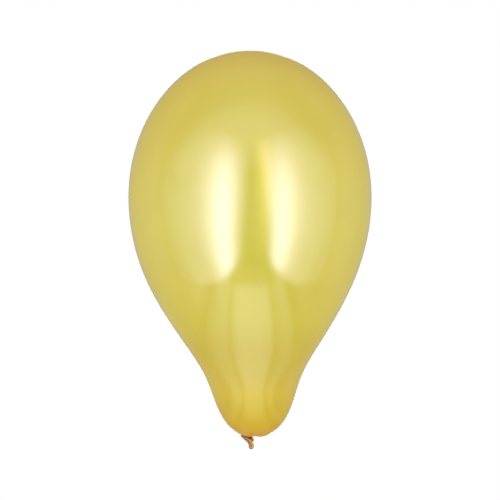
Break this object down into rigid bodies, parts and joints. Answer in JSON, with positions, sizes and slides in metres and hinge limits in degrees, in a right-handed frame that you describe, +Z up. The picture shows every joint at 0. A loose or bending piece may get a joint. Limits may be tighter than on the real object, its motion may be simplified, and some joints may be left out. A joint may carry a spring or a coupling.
{
  "type": "latex balloon",
  "caption": "Pear-shaped pearl-gold latex balloon, blown up and closed by an overhand knot in its neck, with the flattened tail and rolled lip below the knot.",
  "frame": {"origin": "centre of the pinched waist between the bubble and the knot, where a ribbon is tied", "axes": "+Z up along the balloon's axis to the crown, -Y to the front, where the tail's mouth points, +X to the right seen from the front"},
  "size_m": [0.28, 0.28, 0.4597],
  "materials": {
    "film": "pearl, glossy, stretched thin",
    "neck_film": "pearl, satin, pleated and unstretched",
    "lip_film": "pearl, satin, rolled"
  },
  "bodies": {
    "bubble": {"envelope": "film"},
    "neck": {"neck_gather": "neck_film"},
    "knot": {"knot": "neck_film"},
    "tail": {"tail_stem": "neck_film", "tail_fan": "neck_film", "rolled_lip": "lip_film"}
  },
  "joints": [
    {"name": "knot_nod", "type": "hinge", "parent": "bubble", "child": "neck", "pos_m": [0, 0, 0], "axis": [1, 0, 0], "range_deg": [0, 25], "stiffness_Nm_per_rad": 0.0001, "deforming": ["neck_gather"]},
    {"name": "knot_sway", "type": "hinge", "parent": "neck", "child": "knot", "pos_m": [0, 0, 0], "axis": [0, -1, 0], "range_deg": [0, 20], "stiffness_Nm_per_rad": 0.0001, "deforming": ["neck_gather"]},
    {"name": "tail_flap", "type": "hinge", "parent": "knot", "child": "tail", "pos_m": [0.0019, -0.0035, -0.00325], "axis": [0.6702, 0, -0.7422], "range_deg": [0, 60], "stiffness_Nm_per_rad": 0.00005, "deforming": ["tail_stem"]}
  ]
}
